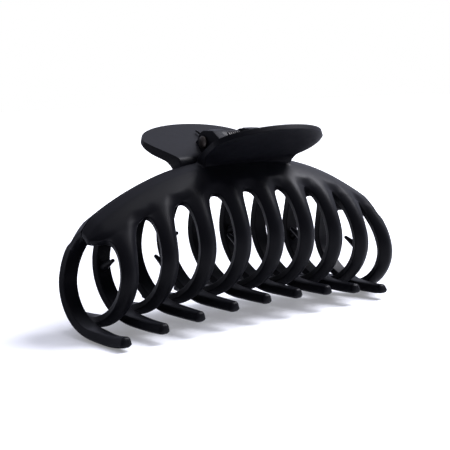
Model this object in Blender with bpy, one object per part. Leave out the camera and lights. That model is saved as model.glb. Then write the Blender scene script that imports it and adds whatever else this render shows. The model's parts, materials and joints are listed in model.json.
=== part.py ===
"""Claw clip: two identical nine-tooth jaws that interlock, on one sprung hinge.

The frame is +X along the clip, +Z up, with the clip closed and standing on its end teeth.
The front jaw bulges towards -Y. The rear jaw is the same moulding turned half a turn about Z.
Every jaw shape below is worked out for the front jaw.
"""

import math

import bmesh
import bpy
import numpy as np
from mathutils import Matrix, Vector

MM = 0.001

# Overall shape of a jaw
LENGTH = 100.6 * MM  # along the ridge, before the teeth fan out
RIDGE_MIDDLE = 47.2 * MM  # height of the ridge at the middle and at the ends
RIDGE_END = 31.7 * MM
RIDGE_POWER = 2.4
UNDERSIDE_RISE = 5.5 * MM  # how far the middle teeth stand above the end teeth
UNDERSIDE_SKEW = 0.4 * MM  # how far the tooth at the -X end stands above the one at the +X end
BULGE_MIDDLE = 18.8 * MM  # greatest distance of the outer face from the middle plane
BULGE_END = 13.0 * MM
WAIST = 0.46  # height of the widest place, as a share of the jaw's height
UPPER_POWER = 1.64  # superellipse powers of the section above and below the waist
LOWER_POWER = 1.94
TIP_START = 5.4 * MM  # beyond the middle plane, from where the tooth runs flat to its tip
TIP_REACH = 19.9 * MM
TIP_SKEW = 3.8 * MM  # how much farther the tooth at the +X end reaches than the middle one
LIFT_START = 13.0 * MM  # beyond the middle plane, from where an end tooth's tip curves up
TIP_LIFT = 1.6 * MM
LIFT_POWER = 4.0  # how fast the lift fades towards the middle teeth
FAN = 0.099  # sideways spread of the end teeth for each unit of distance from the hinge
MIDDLE_GAP = 0.5 * MM  # between the two ridges

# Teeth and the openings between them
TEETH = 9
TOOTH_WIDTH = 5.2 * MM
TIP_WIDTH = 3.3 * MM
TAPER_START = 0.6  # share of a tooth's length where it begins to narrow
PITCH = (LENGTH - TOOTH_WIDTH) / (TEETH - 0.5)
ARCH_TOP_MIDDLE = 14.3 * MM  # along the section, from the ridge to the top of an opening
ARCH_TOP_END = 9.9 * MM
CORNER_WIDTH = 4.6 * MM  # rounding of the shoulder's lower corner at its -X end
CORNER_HEIGHT = 3.6 * MM
ARCH_HEIGHT = 13.2 * MM
ARCH_POWER = 2.6  # of the superellipse over an opening; 2 would be an ellipse
RIDGE_THICKNESS = 3.0 * MM
TOOTH_THICKNESS = 3.4 * MM
TIP_THICKNESS = 2.3 * MM
THINNING_START = 0.8  # share of the section's length where its wall begins to thin
ROLL_WIDTH = 2.6 * MM  # rounding of the outer face beside an opening
ROLL_DEPTH = 1.5 * MM
INNER_NARROWING = 0.8  # width of a tooth's inner face, as a share of its full width

# Thorn-like spikes inside every second tooth
SPIKED_TEETH = (1, 3, 5, 7)
SPIKE_PLACE_MIDDLE = 33.6 * MM  # along the section from the ridge, for a tooth at the middle and at the end
SPIKE_PLACE_END = 28.5 * MM
SPIKE_REACH = 7.0 * MM
SPIKE_RISE = 3.1 * MM
SPIKE_ROOT_RADIUS = 1.6 * MM
SPIKE_TIP_RADIUS = 0.55 * MM

# Handles
HANDLE_SLOPE = math.radians(24.0)  # above the horizontal
HANDLE_FOOT = 0.5 * MM  # height of the handle's inner face above the ridge, at the middle plane
HANDLE_STRIP = 4.6 * MM  # width of the strip of ridge that the handle grows from
HANDLE_CLEAR = 4.6 * MM  # up the slope, where the outer face leaves the shoulder
HANDLE_THICKNESS = 2.9 * MM
HANDLE_EDGE_THICKNESS = 2.5 * MM
HANDLE_SIDES = (  # distance up the slope, and the handle's two sides there, along X
    (0.0 * MM, -13.0 * MM, 18.0 * MM),
    (3.5 * MM, -13.7 * MM, 19.1 * MM),
    (7.0 * MM, -14.4 * MM, 20.8 * MM),
    (10.0 * MM, -14.9 * MM, 22.4 * MM),
    (13.0 * MM, -15.1 * MM, 23.4 * MM),
)
HANDLE_TOP = 23.7 * MM

# Hinge
HINGE_HEIGHT = RIDGE_MIDDLE + 5.2 * MM
BARREL_RADIUS = 3.5 * MM
OUTER_KNUCKLE = (-10.0 * MM, -6.9 * MM)  # reach of the front jaw's two knuckles along X
INNER_KNUCKLE = (3.2 * MM, 6.5 * MM)
WEB_REACH = 10.5 * MM  # from the hinge axis out along the handle
WEB_SHOULDER = 4.1 * MM  # where the web's flat top starts to slope down
SINK = 0.9 * MM  # how deep a knuckle or spike is rooted in the wall it grows from
PIN_RADIUS = 1.0 * MM
BORE_RADIUS = 1.3 * MM
PIN_HEAD_RADIUS = 1.9 * MM
PIN_HEAD_THICKNESS = 0.8 * MM
PEENED_RADIUS = 1.6 * MM
PEENED_THICKNESS = 0.64 * MM
HEAD_DOME = 0.55  # where the head's bevel starts and ends, as a share of its radius and thickness
PEENED_DOME = 0.7  # share of the peened end's radius that is flat

# Torsion spring
WIRE_RADIUS = 0.37 * MM
COIL_RADIUS = 2.65 * MM
COIL_PITCH = 0.82 * MM
COIL_TURNS = 6
LEG_REACH = 15.5 * MM
FIT_GAP = 0.3 * MM

# Fineness of the faceted surfaces
TIP_POINTS = 12
SECTION_POINTS = 240
ACROSS_TOOTH = (-1.0, -0.45, 0.45, 1.0)
SHOULDER_ROWS = (0.0, None, 0.62, 0.87, 1.0)  # shares of the way to an arch top; None is the handle's root
ARCH_ROWS = (30.0, 60.0, 90.0)  # degrees round the quarter ellipse
TOOTH_ROWS = tuple(i / 9 for i in range(1, 10))
TIP_ROWS = (40.0, 75.0)  # degrees round the tip
HANDLE_ROWS = (0.14, 0.4, 0.65, 0.87, 1.0)  # shares of the way from the root to the handle's rim
ARC_STEPS = 8
COIL_STEPS = 14
WIRE_SIDES = 6
PIN_SIDES = 16
SPIKE_SIDES = 8
SLOPE_STEP = 0.4 * MM  # either side of a point of the section, to find which way it slopes
SMOOTH_ANGLE = math.radians(40.0)  # edges sharper than this stay crisp


def clear_scene():
    for obj in list(bpy.data.objects):
        bpy.data.objects.remove(obj, do_unlink=True)


def plastic(name):
    """Matt black soft-touch plastic."""
    material = bpy.data.materials.new(name)
    material.use_nodes = True
    shader = material.node_tree.nodes["Principled BSDF"]
    shader.inputs["Base Color"].default_value = (0.012, 0.012, 0.014, 1.0)
    shader.inputs["Roughness"].default_value = 0.55
    return material


def steel(name):
    """Dull plated steel."""
    material = bpy.data.materials.new(name)
    material.use_nodes = True
    shader = material.node_tree.nodes["Principled BSDF"]
    shader.inputs["Base Color"].default_value = (0.42, 0.40, 0.37, 1.0)
    shader.inputs["Metallic"].default_value = 1.0
    shader.inputs["Roughness"].default_value = 0.38
    return material


def add_object(name, mesh, material):
    obj = bpy.data.objects.new(name, mesh)
    bpy.context.scene.collection.objects.link(obj)
    if material and not mesh.materials:
        mesh.materials.append(material)
    return obj


def finish_mesh(name, bm):
    """Turn the faces out, close the bmesh and give back a smooth-shaded mesh."""
    bmesh.ops.recalc_face_normals(bm, faces=bm.faces)
    mesh = bpy.data.meshes.new(name)
    bm.to_mesh(mesh)
    bm.free()
    mesh.shade_smooth()
    mesh.set_sharp_from_angle(angle=SMOOTH_ANGLE)
    return mesh


# The jaw's section -------------------------------------------------------------------

TOOTH_CENTRES = [LENGTH / 2 - TOOTH_WIDTH / 2 - PITCH * (TEETH - 1 - i) for i in range(TEETH)]
FOOT_EDGE = (1.0 - ACROSS_TOOTH[-2]) * TOOTH_WIDTH / 2  # from a tooth's side to the flat along its middle


def share_of_half(x):
    return min(abs(2.0 * x / LENGTH), 1.0)


def ridge_height(x):
    return RIDGE_MIDDLE - (RIDGE_MIDDLE - RIDGE_END) * share_of_half(x) ** RIDGE_POWER


def arch_top(x):
    """Distance along the section from the ridge to the top of an opening."""
    near_end = max(0.0, 1.0 - (x + LENGTH / 2) / CORNER_WIDTH)
    lowering = (ARCH_TOP_MIDDLE - ARCH_TOP_END) * share_of_half(x) ** 2
    return ARCH_TOP_MIDDLE - lowering - CORNER_HEIGHT * near_end**2


class Section:
    """The outer face's curve at one place along the clip, from the ridge to a tooth's tip."""

    def __init__(self, x):
        share = share_of_half(x)
        ridge = ridge_height(x)
        towards_end = x / TOOTH_CENTRES[-1]
        underside = UNDERSIDE_RISE * (1.0 - towards_end**2) + UNDERSIDE_SKEW * (1.0 - towards_end) / 2
        underside -= roll(FOOT_EDGE)
        bulge = BULGE_MIDDLE - (BULGE_MIDDLE - BULGE_END) * share**2
        waist = underside + WAIST * (ridge - underside)
        turn = np.linspace(0.0, math.pi / 2, SECTION_POINTS)
        sine, cosine = np.sin(turn), np.maximum(np.cos(turn), 0.0)
        upper_y = -bulge * sine ** (2 / UPPER_POWER)
        upper_z = waist + (ridge - waist) * cosine ** (2 / UPPER_POWER)
        lower_y = TIP_START - (bulge + TIP_START) * cosine ** (2 / LOWER_POWER)
        lower_z = waist - (waist - underside) * sine ** (2 / LOWER_POWER)
        run = np.linspace(0.0, 1.0, TIP_POINTS)
        tip_y = LIFT_START + (TIP_REACH + TIP_SKEW * towards_end - LIFT_START) * run
        self.y = np.concatenate([upper_y, lower_y[1:], tip_y])
        self.z = np.concatenate([upper_z, lower_z[1:], underside + TIP_LIFT * share**LIFT_POWER * run**2])
        steps = np.hypot(np.diff(self.y), np.diff(self.z))
        self.along = np.concatenate([[0.0], np.cumsum(steps)])
        self.total = float(self.along[-1])

    def at(self, distance):
        return np.interp(distance, self.along, self.y), np.interp(distance, self.along, self.z)

    def place(self, distance, depth):
        """The point this far along the curve and this deep under the outer face, as y and z."""
        y, z = self.at(distance)
        near_y, near_z = self.at(max(distance - SLOPE_STEP, 0.0))
        far_y, far_z = self.at(min(distance + SLOPE_STEP, self.total))
        size = math.hypot(far_y - near_y, far_z - near_z)
        return y - depth * (far_z - near_z) / size, z + depth * (far_y - near_y) / size


def wall_thickness(distance, total):
    """Wall thickness along the section: shoulder, tooth, then a thinner tip."""
    places = (0.0, ARCH_TOP_MIDDLE, THINNING_START * total, total)
    walls = (RIDGE_THICKNESS, TOOTH_THICKNESS, TOOTH_THICKNESS, TIP_THICKNESS)
    return float(np.interp(distance, places, walls))


def opening_distance(x, distance, centre, half_width, top):
    """Distance from a point of the shoulder or a tooth to one opening, whose top is half a superellipse."""
    across = abs(x - centre) / half_width
    up = (top + ARCH_HEIGHT - distance) / ARCH_HEIGHT
    if up <= 0.0:
        return (across - 1.0) * half_width
    size = max((across**ARCH_POWER + up**ARCH_POWER) ** (1 / ARCH_POWER), 0.1)
    slopes = (across / size) ** (ARCH_POWER - 1) / half_width, (up / size) ** (ARCH_POWER - 1) / ARCH_HEIGHT
    return (size - 1.0) / math.hypot(*slopes)


def roll(edge_distance):
    """How far the outer face falls away this close to an opening: a quarter of an ellipse."""
    inside = 1.0 - min(max(edge_distance, 0.0), ROLL_WIDTH) / ROLL_WIDTH
    return ROLL_DEPTH * (1.0 - math.sqrt(1.0 - inside**2))


def fan_factor(y, z):
    """Sideways spread at a distance from the hinge: the same at any opening, so the teeth pass each other."""
    distance = math.hypot(y, z - HINGE_HEIGHT) - (HINGE_HEIGHT - RIDGE_MIDDLE)
    return 1.0 + FAN * distance * 2.0 / LENGTH


# The jaw's grid of points --------------------------------------------------------------

OPENINGS = [(-LENGTH / 2, PITCH / 2)]
OPENINGS += [(centre + PITCH / 2, (PITCH - TOOTH_WIDTH) / 2) for centre in TOOTH_CENTRES[:-1]]
ROWS = [("shoulder", share) for share in SHOULDER_ROWS]
ROWS += [("arch", math.radians(angle)) for angle in ARCH_ROWS]
ROWS += [("tooth", share) for share in TOOTH_ROWS]
ROWS += [("tip", math.radians(angle)) for angle in TIP_ROWS]
APEX_ROW = len(SHOULDER_ROWS) - 1
STRIP_ROW = SHOULDER_ROWS.index(None)
LAST_COLUMN = len(ACROSS_TOOTH) - 1


def shoulder_reach(tooth, across):
    """Width of a tooth's own stretch of shoulder, on one side of its centre."""
    if tooth == 0 and across < 0:
        return TOOTH_CENTRES[0] + LENGTH / 2
    if tooth == TEETH - 1 and across > 0:
        return TOOTH_WIDTH / 2
    return PITCH / 2


def shoulder_x(tooth, across):
    return TOOTH_CENTRES[tooth] + across * shoulder_reach(tooth, across)


def column_place(shared_column):
    """The tooth, and the place across it, of a column counted along the whole shoulder."""
    tooth = min(shared_column // LAST_COLUMN, TEETH - 1)
    return tooth, shared_column - tooth * LAST_COLUMN


def nearest_column(x):
    columns = range(TEETH * LAST_COLUMN + 1)
    return min(columns, key=lambda column: abs(shared_x(column) - x))


def shared_x(column):
    tooth, own = column_place(column)
    return shoulder_x(tooth, ACROSS_TOOTH[own])


ROOT_ENDS = HANDLE_SIDES[0][1:]
HANDLE_COLUMNS = (nearest_column(ROOT_ENDS[0]), nearest_column(ROOT_ENDS[1]))


def strip_x(x):
    """Slide the ridge's columns a little, so that two of them stand at the handle's two sides."""
    places = (-LENGTH / 2, shared_x(HANDLE_COLUMNS[0]), shared_x(HANDLE_COLUMNS[1]), LENGTH / 2)
    return float(np.interp(x, places, (-LENGTH / 2, *ROOT_ENDS, LENGTH / 2)))


def root_share(shared_column):
    """How far out a column stands on the handle's root: -1 and 1 at its two sides."""
    left, right = ROOT_ENDS
    return (2.0 * strip_x(shared_x(shared_column)) - left - right) / (right - left)


def row_shape(kind, value, tooth, across, row):
    """Where a grid point lies: x, the x whose section it follows, distance along it, and its squeeze."""
    centre = TOOTH_CENTRES[tooth]
    wide = shoulder_x(tooth, across)
    straight = centre + across * TOOTH_WIDTH / 2
    if kind == "shoulder":
        x = strip_x(wide) if row <= STRIP_ROW else wide
        return x, x, HANDLE_STRIP if value is None else value * arch_top(x), 1.0
    if kind == "arch":
        reach = math.sin(value) ** (2 / ARCH_POWER)
        drop = 1.0 - max(math.cos(value), 0.0) ** (2 / ARCH_POWER)
        x = wide + (straight - wide) * reach
        section_x = x + (centre - x) * reach
        return x, section_x, arch_top(section_x) + ARCH_HEIGHT * drop, 1.0
    start = arch_top(centre) + ARCH_HEIGHT
    end = Section(centre).total - TIP_THICKNESS / 2
    if kind == "tooth":
        taper = max(0.0, (value - TAPER_START) / (1.0 - TAPER_START))
        x = straight + across * (TIP_WIDTH - TOOTH_WIDTH) / 2 * taper
        return x, centre, start + (end - start) * value, 1.0
    squeeze = math.cos(value)
    x = centre + across * TIP_WIDTH / 2 * squeeze
    return x, centre, end + TIP_THICKNESS / 2 * math.sin(value), squeeze


def rolled_depth(kind, row, across, x, distance, top):
    """How deep the rounding beside the openings and ends sets a point of the outer face."""
    if row <= STRIP_ROW:
        return 0.0
    if kind in ("tooth", "tip"):
        return roll((1.0 - abs(across)) * TOOTH_WIDTH / 2)
    edges = [opening_distance(x, distance, *opening, top) for opening in OPENINGS]
    return roll(min(edges + [LENGTH / 2 - abs(x)]))


def grid_point(tooth, across, row, inner):
    """One point of the jaw, on its outer or inner face."""
    kind, value = ROWS[row]
    x, section_x, distance, squeeze = row_shape(kind, value, tooth, across, row)
    section = Section(section_x)
    wall = wall_thickness(distance, section.total)
    depth = wall if inner else rolled_depth(kind, row, across, x, distance, arch_top(section_x))
    depth = wall / 2 + (depth - wall / 2) * squeeze
    if inner and kind != "shoulder":
        centre = TOOTH_CENTRES[tooth]
        x = centre + (x - centre) * INNER_NARROWING
    y, z = section.place(distance, depth)
    if kind == "shoulder":
        y = min(y, -MIDDLE_GAP / 2)
    return Vector((x * fan_factor(y, z), y, z))


def handle_place(x, up_slope, drop):
    """A point of the handle: up the slope from the middle plane, and this far under its inner face."""
    y = -up_slope * math.cos(HANDLE_SLOPE) - drop * math.sin(HANDLE_SLOPE)
    z = RIDGE_MIDDLE + HANDLE_FOOT + up_slope * math.sin(HANDLE_SLOPE) - drop * math.cos(HANDLE_SLOPE)
    return Vector((x, y, z))


def handle_x(spread, up_slope):
    """The place along X this share of the way from the handle's middle line to one of its sides."""
    distances, lefts, rights = zip(*HANDLE_SIDES)
    left, right = np.interp(up_slope, distances, lefts), np.interp(up_slope, distances, rights)
    return float(left + right + spread * (right - left)) / 2


def handle_column(share, inner):
    """The handle's points above its root on one face, for a column this share of the half width out."""
    corner = HANDLE_SIDES[-1][0]
    points = []
    for row in HANDLE_ROWS:
        spread = share + row * (math.sin(share * math.pi / 2) - share)
        rim = corner + (HANDLE_TOP - corner) * math.sqrt(max(0.0, 1.0 - spread**2))
        start = 0.0 if inner else HANDLE_CLEAR
        up_slope = start + (rim - start) * row
        thinning = (HANDLE_THICKNESS - HANDLE_EDGE_THICKNESS) * up_slope / HANDLE_TOP
        drop = 0.0 if inner else HANDLE_THICKNESS - thinning
        points.append(handle_place(handle_x(spread, up_slope), up_slope, drop))
    return points


class JawGrid:
    """A jaw's outer and inner faces as one grid, whose teeth share points only above the openings."""

    def __init__(self):
        self.bm = bmesh.new()
        self.points = {}

    def point(self, tooth, column, row, inner):
        key = (tooth, column, row, inner)
        if row <= APEX_ROW:
            key = ("shared", tooth * LAST_COLUMN + column, row, inner)
        if key not in self.points:
            self.points[key] = self.bm.verts.new(grid_point(tooth, ACROSS_TOOTH[column], row, inner))
        return self.points[key]

    def face(self, corners):
        self.bm.faces.new([self.point(*corner) for corner in corners])

    def wall(self, line):
        """Join the outer and inner faces along a line of grid points."""
        for start, end in zip(line[:-1], line[1:]):
            self.face([start + (False,), end + (False,), end + (True,), start + (True,)])

    def build_tooth(self, tooth):
        """Both faces of a tooth and of the shoulder above it, and the cap on its tip."""
        end = len(ROWS) - 1
        for column in range(LAST_COLUMN):
            for row in range(end):
                corners = [(tooth, column, row), (tooth, column + 1, row)]
                corners += [(tooth, column + 1, row + 1), (tooth, column, row + 1)]
                self.face([corner + (True,) for corner in corners])
                in_handle = HANDLE_COLUMNS[0] <= tooth * LAST_COLUMN + column < HANDLE_COLUMNS[1]
                if row != STRIP_ROW - 1 or not in_handle:
                    self.face([corner + (False,) for corner in corners])
        ring = [(tooth, column, end, False) for column in range(LAST_COLUMN + 1)]
        ring += [(tooth, column, end, True) for column in reversed(range(LAST_COLUMN + 1))]
        self.face(ring)

    def build_walls(self):
        """The narrow faces along the ridge, the two ends and the sides of the openings."""
        everywhere = range(len(ROWS))
        below_apex = range(APEX_ROW, len(ROWS))
        for tooth in range(TEETH):
            self.wall([(tooth, column, 0) for column in range(LAST_COLUMN + 1)])
            self.wall([(tooth, 0, row) for row in (below_apex if tooth else everywhere)])
            is_last = tooth == TEETH - 1
            self.wall([(tooth, LAST_COLUMN, row) for row in (everywhere if is_last else below_apex)])

    def handle_stack(self, shared_column, inner):
        """The handle's points in one column, from its root on the ridge to its rim."""
        tooth, column = column_place(shared_column)
        share = root_share(shared_column)
        root = self.point(tooth, column, STRIP_ROW - 1 if inner else STRIP_ROW, False)
        return [root] + [self.bm.verts.new(place) for place in handle_column(share, inner)]

    def build_handle(self):
        """Grow the handle out of the strip of ridge between the first two rows."""
        columns = range(HANDLE_COLUMNS[0], HANDLE_COLUMNS[1] + 1)
        inner_face = [self.handle_stack(column, True) for column in columns]
        outer_face = [self.handle_stack(column, False) for column in columns]
        levels = range(len(HANDLE_ROWS))
        for side in (inner_face, outer_face):
            for here, there in zip(side[:-1], side[1:]):
                for level in levels:
                    self.bm.faces.new([here[level], there[level], there[level + 1], here[level + 1]])
        for column in range(len(inner_face) - 1):
            rim = [inner_face[column][-1], inner_face[column + 1][-1]]
            self.bm.faces.new(rim + [outer_face[column + 1][-1], outer_face[column][-1]])
        for column in (0, -1):
            for level in levels:
                edge = [inner_face[column][level], inner_face[column][level + 1]]
                self.bm.faces.new(edge + [outer_face[column][level + 1], outer_face[column][level]])


def jaw_shell_mesh():
    grid = JawGrid()
    for tooth in range(TEETH):
        grid.build_tooth(tooth)
    grid.build_walls()
    grid.build_handle()
    return finish_mesh("jaw", grid.bm)


# Knuckles, spikes and the bore ---------------------------------------------------------


def knuckle_profile():
    """A knuckle seen along X: the barrel round the hinge, and the web that joins it to its own handle."""
    side = -MIDDLE_GAP / 2
    profile = [(side, RIDGE_MIDDLE - SINK)]
    for step in range(ARC_STEPS + 1):
        angle = -math.pi / 2 + math.pi * step / ARC_STEPS
        y = BARREL_RADIUS * math.cos(angle)
        profile.append((y if step else side, HINGE_HEIGHT + BARREL_RADIUS * math.sin(angle)))
    profile.append((-WEB_SHOULDER, HINGE_HEIGHT + BARREL_RADIUS))
    for up_slope in (WEB_REACH, SINK):
        foot = handle_place(0.0, up_slope / math.cos(HANDLE_SLOPE), SINK)
        profile.append((foot.y, foot.z))
    return profile


def prism(bm, profile, low_x, high_x):
    """A closed prism along X from a profile of y and z."""
    ends = [[bm.verts.new((x, y, z)) for y, z in profile] for x in (low_x, high_x)]
    count = len(profile)
    for i in range(count):
        j = (i + 1) % count
        bm.faces.new([ends[0][i], ends[0][j], ends[1][j], ends[1][i]])
    bm.faces.new(ends[0])
    bm.faces.new(ends[1])


def tube_between(bm, start, end, start_radius, end_radius, sides):
    """A closed round bar, or a cone cut short, between two points."""
    axis = end - start
    turn = axis.to_track_quat("Z", "Y").to_matrix().to_4x4()
    place = Matrix.Translation((start + end) / 2) @ turn
    bmesh.ops.create_cone(
        bm,
        cap_ends=True,
        segments=sides,
        radius1=start_radius,
        radius2=end_radius,
        depth=axis.length,
        matrix=place,
    )


def knuckle_mesh(span):
    bm = bmesh.new()
    prism(bm, knuckle_profile(), *span)
    return finish_mesh("knuckle", bm)


def spike_mesh(tooth):
    """A thorn that leans inwards and upwards from a tooth's inner face."""
    section = Section(TOOTH_CENTRES[tooth])
    lowering = (SPIKE_PLACE_MIDDLE - SPIKE_PLACE_END) * share_of_half(TOOTH_CENTRES[tooth]) ** 2
    root_y, root_z = section.place(SPIKE_PLACE_MIDDLE - lowering, TOOTH_THICKNESS - SINK)
    x = TOOTH_CENTRES[tooth] * fan_factor(root_y, root_z)
    root = Vector((x, root_y, root_z))
    bm = bmesh.new()
    tip = root + Vector((0.0, SPIKE_REACH, SPIKE_RISE))
    tube_between(bm, root, tip, SPIKE_ROOT_RADIUS, SPIKE_TIP_RADIUS, SPIKE_SIDES)
    return finish_mesh("spike", bm)


def bore_mesh():
    bm = bmesh.new()
    half = -OUTER_KNUCKLE[0] + SINK
    axis_ends = [Vector((x, 0.0, HINGE_HEIGHT)) for x in (-half, half)]
    tube_between(bm, *axis_ends, BORE_RADIUS, BORE_RADIUS, PIN_SIDES)
    return finish_mesh("bore", bm)


def add_cutter(name, mesh):
    cutter = add_object(name, mesh, None)
    cutter.hide_render = True
    cutter.display_type = "WIRE"
    return cutter


def add_boolean(obj, cutter, operation):
    modifier = obj.modifiers.new(cutter.name, "BOOLEAN")
    modifier.object = cutter
    modifier.operation = operation


def add_jaw(name, mesh, parent, half_turn):
    """A jaw under its own empty: the shell, joined with its knuckles and spikes, and bored for the pin."""
    jaw = add_object(name, mesh, None)
    tools = [(add_cutter(name + "_knuckle_outer", knuckle_mesh(OUTER_KNUCKLE)), "UNION")]
    tools.append((add_cutter(name + "_knuckle_inner", knuckle_mesh(INNER_KNUCKLE)), "UNION"))
    for tooth in SPIKED_TEETH:
        tools.append((add_cutter(f"{name}_spike_{tooth}", spike_mesh(tooth)), "UNION"))
    tools.append((add_cutter(name + "_bore", bore_mesh()), "DIFFERENCE"))
    for tool, operation in tools:
        add_boolean(jaw, tool, operation)
    for obj in [jaw] + [tool for tool, _ in tools]:
        obj.parent = parent
        obj.location = (0.0, 0.0, -HINGE_HEIGHT)
    parent.rotation_euler = (0.0, 0.0, math.pi if half_turn else 0.0)
    return jaw


# Pin and spring --------------------------------------------------------------------------


def turned_mesh(name, profile, sides):
    """A closed body turned about X from a profile of x and radius that starts and ends on the axis."""
    bm = bmesh.new()
    rings = []
    for x, radius in profile:
        count = sides if radius else 1
        angles = [2 * math.pi * i / count for i in range(count)]
        rings.append([bm.verts.new((x, radius * math.cos(a), radius * math.sin(a))) for a in angles])
    for here, there in zip(rings[:-1], rings[1:]):
        for i in range(sides):
            j = (i + 1) % sides
            corners = [here[i % len(here)], here[j % len(here)], there[j % len(there)], there[i % len(there)]]
            bm.faces.new(list(dict.fromkeys(corners)))
    return finish_mesh(name, bm)


def pin_mesh():
    """A pin with a low domed head at one end and a smaller peened head at the other."""
    seat = -OUTER_KNUCKLE[0] + FIT_GAP
    head = seat + PIN_HEAD_THICKNESS
    peen = seat + PEENED_THICKNESS
    profile = [
        (-head, 0.0),
        (-head, PIN_HEAD_RADIUS * HEAD_DOME),
        (-seat - PIN_HEAD_THICKNESS * HEAD_DOME, PIN_HEAD_RADIUS),
        (-seat, PIN_HEAD_RADIUS),
        (-seat, PIN_RADIUS),
        (seat, PIN_RADIUS),
        (seat, PEENED_RADIUS),
        (peen, PEENED_RADIUS * PEENED_DOME),
        (peen, 0.0),
    ]
    return turned_mesh("hinge_pin", profile, PIN_SIDES)


def spring_path():
    """The wire's centre line about the hinge axis: leg on the rear handle, coil, leg on the front handle."""
    foot = handle_place(0.0, LEG_REACH / math.cos(HANDLE_SLOPE), -(WIRE_RADIUS + FIT_GAP))
    tip = (-foot.y, foot.z - HINGE_HEIGHT)
    tip_distance = math.hypot(*tip)
    leave = math.atan2(tip[1], tip[0]) - math.acos(COIL_RADIUS / tip_distance)
    sweep = 2 * math.pi * COIL_TURNS + math.pi + 2 * leave
    half_length = COIL_PITCH * sweep / (2 * math.pi) / 2
    steps = round(COIL_STEPS * sweep / (2 * math.pi))
    path = [Vector((-half_length, tip[0], tip[1]))]
    for step in range(steps + 1):
        angle = leave - sweep * step / steps
        x = -half_length + 2 * half_length * step / steps
        path.append(Vector((x, COIL_RADIUS * math.cos(angle), COIL_RADIUS * math.sin(angle))))
    path.append(Vector((half_length, -tip[0], tip[1])))
    return path


def wire_mesh(name, path):
    """A closed round wire along a path, with a ring of points square to the path at each of its points."""
    bm = bmesh.new()
    rings = []
    for i, centre in enumerate(path):
        ahead = path[min(i + 1, len(path) - 1)] - path[max(i - 1, 0)]
        across = Vector((1.0, 0.0, 0.0))
        across = (across - ahead * (across.dot(ahead) / ahead.length_squared)).normalized()
        outward = ahead.cross(across).normalized()
        ring = []
        for side in range(WIRE_SIDES):
            angle = 2 * math.pi * side / WIRE_SIDES
            offset = across * math.cos(angle) + outward * math.sin(angle)
            ring.append(bm.verts.new(centre + WIRE_RADIUS * offset))
        rings.append(ring)
    for here, there in zip(rings[:-1], rings[1:]):
        for i in range(WIRE_SIDES):
            j = (i + 1) % WIRE_SIDES
            bm.faces.new([here[i], here[j], there[j], there[i]])
    bm.faces.new(rings[0])
    bm.faces.new(rings[-1])
    return finish_mesh(name, bm)


def add_hinge_empty(name):
    empty = bpy.data.objects.new(name, None)
    bpy.context.scene.collection.objects.link(empty)
    empty.location = (0.0, 0.0, HINGE_HEIGHT)
    return empty


def build():
    clear_scene()
    black = plastic("black_plastic")
    metal = steel("plated_steel")
    shell = jaw_shell_mesh()
    shell.materials.append(black)
    add_jaw("front_jaw", shell, add_hinge_empty("front_hinge"), half_turn=False)
    add_jaw("rear_jaw", shell, add_hinge_empty("rear_hinge"), half_turn=True)
    axis = add_hinge_empty("hinge_axis")
    pin = add_object("hinge_pin", pin_mesh(), metal)
    spring = add_object("torsion_spring", wire_mesh("torsion_spring", spring_path()), metal)
    for obj in (pin, spring):
        obj.parent = axis


build()
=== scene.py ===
"""Looks of the claw clip: finely shaped jaws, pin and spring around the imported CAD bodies.

The frame is the CAD's: +X along the clip, +Z up, with the clip closed and standing on its end teeth.
The front jaw bulges towards -Y. The rear jaw is the same moulding turned half a turn about Z.
Every jaw shape below is worked out for the front jaw. Lengths are in metres.
"""

import functools
import json
import math

import bmesh
import bpy
import numpy as np
from mathutils import Matrix, Vector


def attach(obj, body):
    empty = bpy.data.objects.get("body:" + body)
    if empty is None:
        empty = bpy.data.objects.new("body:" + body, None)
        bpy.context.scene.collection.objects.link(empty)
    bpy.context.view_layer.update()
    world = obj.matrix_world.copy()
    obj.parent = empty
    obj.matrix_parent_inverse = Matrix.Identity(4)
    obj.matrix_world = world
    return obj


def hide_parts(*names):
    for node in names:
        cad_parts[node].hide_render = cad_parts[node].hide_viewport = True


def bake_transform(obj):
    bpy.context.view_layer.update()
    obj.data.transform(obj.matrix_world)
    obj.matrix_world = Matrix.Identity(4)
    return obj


MM = 0.001

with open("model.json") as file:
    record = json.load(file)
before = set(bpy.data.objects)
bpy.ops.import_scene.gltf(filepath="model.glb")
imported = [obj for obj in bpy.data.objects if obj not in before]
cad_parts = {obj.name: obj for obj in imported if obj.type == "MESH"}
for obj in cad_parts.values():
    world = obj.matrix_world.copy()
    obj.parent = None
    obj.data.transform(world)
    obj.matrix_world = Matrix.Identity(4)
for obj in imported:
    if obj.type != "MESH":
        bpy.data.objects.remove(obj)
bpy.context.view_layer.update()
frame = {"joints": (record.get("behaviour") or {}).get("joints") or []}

# Overall shape of a jaw
LENGTH = 100.6 * MM  # along the ridge, before the teeth fan out
RIDGE_MIDDLE = 47.2 * MM  # height of the ridge at the middle and at the ends
RIDGE_END = 31.7 * MM
RIDGE_POWER = 2.4
UNDERSIDE_RISE = 5.5 * MM  # how far the middle teeth stand above the end teeth
UNDERSIDE_SKEW = 0.4 * MM  # how far the tooth at the -X end stands above the one at the +X end
BULGE_MIDDLE = 18.8 * MM  # greatest distance of the outer face from the middle plane
BULGE_END = 13.0 * MM
WAIST = 0.46  # height of the widest place, as a share of the jaw's height
UPPER_POWER = 1.64  # superellipse powers of the section above and below the waist
LOWER_POWER = 1.94
TIP_START = 5.4 * MM  # beyond the middle plane, from where the tooth runs flat to its tip
TIP_REACH = 19.9 * MM
TIP_SKEW = 3.8 * MM  # how much farther the tooth at the +X end reaches than the middle one
LIFT_START = 13.0 * MM  # beyond the middle plane, from where an end tooth's tip curves up
TIP_LIFT = 1.6 * MM
LIFT_POWER = 4.0  # how fast the lift fades towards the middle teeth
FAN = 0.099  # sideways spread of the end teeth for each unit of distance from the hinge
MIDDLE_GAP = 0.5 * MM  # between the two ridges

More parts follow.
